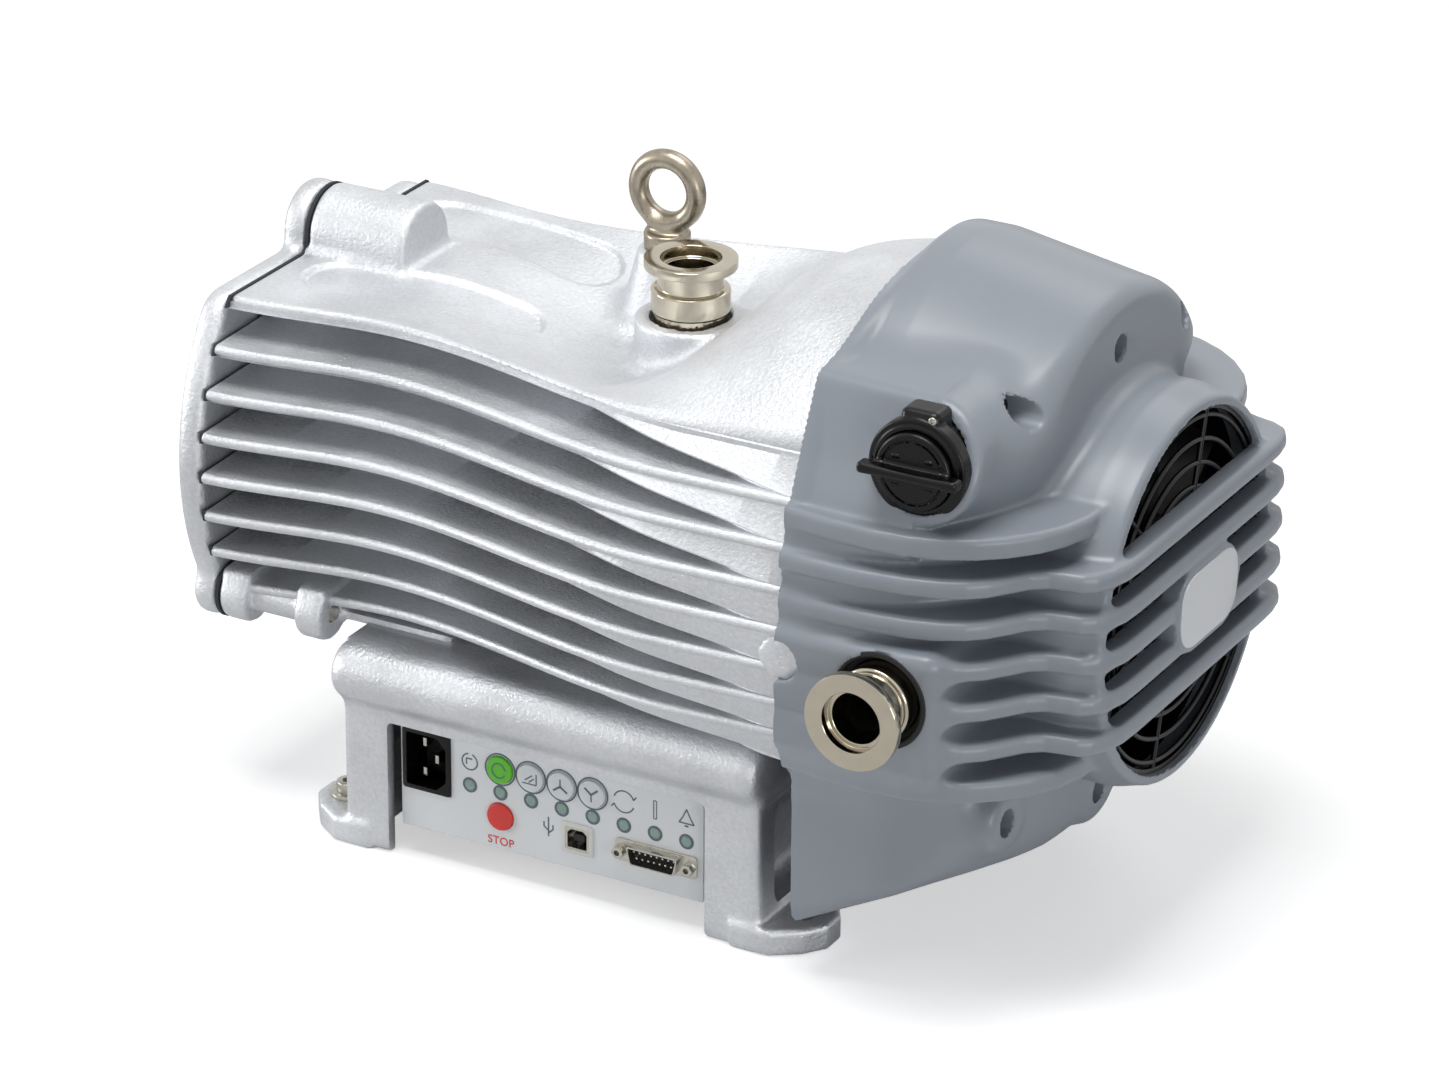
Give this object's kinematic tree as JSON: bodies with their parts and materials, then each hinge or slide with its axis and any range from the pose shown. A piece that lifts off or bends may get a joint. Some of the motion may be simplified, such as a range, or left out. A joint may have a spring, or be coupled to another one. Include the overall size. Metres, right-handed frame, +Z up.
{
  "type": "dry scroll vacuum pump",
  "caption": "Air-cooled dry scroll vacuum pump: wavy finned cast housing on a foot-mounted base with a button panel, moulded fan cowl, and small-flange inlet and exhaust.",
  "frame": {"origin": "on the ground, midway between the four foot holes", "axes": "+X along the shaft from the end cover to the fan, +Z up; the operator panel faces -Y"},
  "size_m": [0.4332, 0.2821, 0.3024],
  "materials": {
    "cast_aluminium": "blasted casting, fine grain",
    "gasket": "matt",
    "zinc_screws": "zinc plated",
    "steel": "ground",
    "black_rubber": "matt",
    "laminations": "stacked sheet",
    "copper": "lacquered wire",
    "cast_iron": "rough",
    "stainless": "turned and polished",
    "machined_aluminium": "machined",
    "tip_seal": "filled plastic",
    "black_plastic": "semi-gloss moulding",
    "cowl": "satin moulding",
    "dark_plastic": "matt moulding",
    "badge": "satin",
    "panel": "printed film",
    "nickel": "plated",
    "gold_pins": "plated",
    "board": "lacquered",
    "lamps": "tinted",
    "green_button": "film",
    "red_button": "film",
    "light_button": "film"
  },
  "bodies": {
    "frame": {"motor_housing": "cast_aluminium", "end_cover": "cast_aluminium", "end_cover_gasket": "gasket", "end_cover_screws": "zinc_screws", "lug_tie_rods": "zinc_screws", "base_casting": "cast_aluminium", "base_bolts": "zinc_screws", "rear_bearing": "steel", "bearing_preload_spring": "steel", "front_bearing": "steel", "shaft_seal": "black_rubber", "motor_stator": "laminations", "motor_windings": "copper", "bellows": "stainless", "fixed_scroll": "machined_aluminium", "fixed_tip_seal": "tip_seal", "fixed_scroll_screws": "zinc_screws", "inlet_flange": "stainless", "inlet_seal": "black_rubber", "inlet_strainer": "stainless", "lifting_eye": "steel", "exhaust_manifold": "machined_aluminium", "exhaust_valve_spring": "steel", "exhaust_flange": "stainless", "exhaust_grommet": "black_rubber", "gas_ballast_body": "black_plastic", "gas_ballast_screws": "zinc_screws", "gas_ballast_pipe": "black_rubber", "fan_cowl": "cowl", "cowl_screws": "zinc_screws", "fan_frame": "dark_plastic", "fan_guard": "black_plastic", "badge_plate": "badge", "interface_panel": "panel", "power_inlet": "black_plastic", "power_inlet_pins": "nickel", "usb_socket": "nickel", "usb_tongue": "dark_plastic", "serial_shell": "nickel", "serial_insert": "dark_plastic", "serial_pins": "gold_pins", "serial_jackscrews": "nickel", "control_board": "board", "indicator_lamps": "lamps"},
    "crank": {"crankshaft": "steel", "counterweights": "cast_iron", "motor_rotor": "laminations"},
    "orbiter": {"orbiting_scroll": "machined_aluminium", "orbiting_tip_seal": "tip_seal", "orbit_bearing": "steel"},
    "fan": {"fan_impeller": "dark_plastic"},
    "ballast_knob": {"gas_ballast_knob": "black_plastic"},
    "valve": {"exhaust_valve": "machined_aluminium"},
    "start_key": {"start_button": "green_button"},
    "stop_key": {"stop_button": "red_button"},
    "standby_key": {"standby_button": "light_button"},
    "speed_down_key": {"speed_down_button": "light_button"},
    "speed_up_key": {"speed_up_button": "light_button"}
  },
  "joints": [
    {"name": "crank_spin", "type": "hinge", "parent": "frame", "child": "crank", "pos_m": [0, 0, 0.16], "axis": [1, 0, 0], "continuous": true},
    {"name": "orbit_turn", "type": "hinge", "parent": "crank", "child": "orbiter", "pos_m": [0.06, 0, 0.165], "axis": [1, 0, 0], "continuous": true},
    {"name": "fan_spin", "type": "hinge", "parent": "frame", "child": "fan", "pos_m": [0.217, 0, 0.16], "axis": [1, 0, 0], "continuous": true},
    {"name": "gas_ballast_turn", "type": "hinge", "parent": "frame", "child": "ballast_knob", "pos_m": [0.179, -0.116, 0.243], "axis": [0, 1, 0], "range_deg": [-90, 0]},
    {"name": "valve_lift", "type": "slide", "parent": "frame", "child": "valve", "axis": [1, 0, 0], "range_m": [0, 0.003], "stiffness_N_per_m": 200, "springref_m": -0.001, "deforming": ["exhaust_valve_spring"]},
    {"name": "start_press", "type": "slide", "parent": "frame", "child": "start_key", "axis": [0, 1, 0], "range_m": [0, 0.0007], "stiffness_N_per_m": 600},
    {"name": "stop_press", "type": "slide", "parent": "frame", "child": "stop_key", "axis": [0, 1, 0], "range_m": [0, 0.0007], "stiffness_N_per_m": 600},
    {"name": "standby_press", "type": "slide", "parent": "frame", "child": "standby_key", "axis": [0, 1, 0], "range_m": [0, 0.0007], "stiffness_N_per_m": 600},
    {"name": "speed_down_press", "type": "slide", "parent": "frame", "child": "speed_down_key", "axis": [0, 1, 0], "range_m": [0, 0.0007], "stiffness_N_per_m": 600},
    {"name": "speed_up_press", "type": "slide", "parent": "frame", "child": "speed_up_key", "axis": [0, 1, 0], "range_m": [0, 0.0007], "stiffness_N_per_m": 600}
  ],
  "couplings": [
    {"joint": "orbit_turn", "follows": "crank_spin", "ratio": -1}
  ]
}
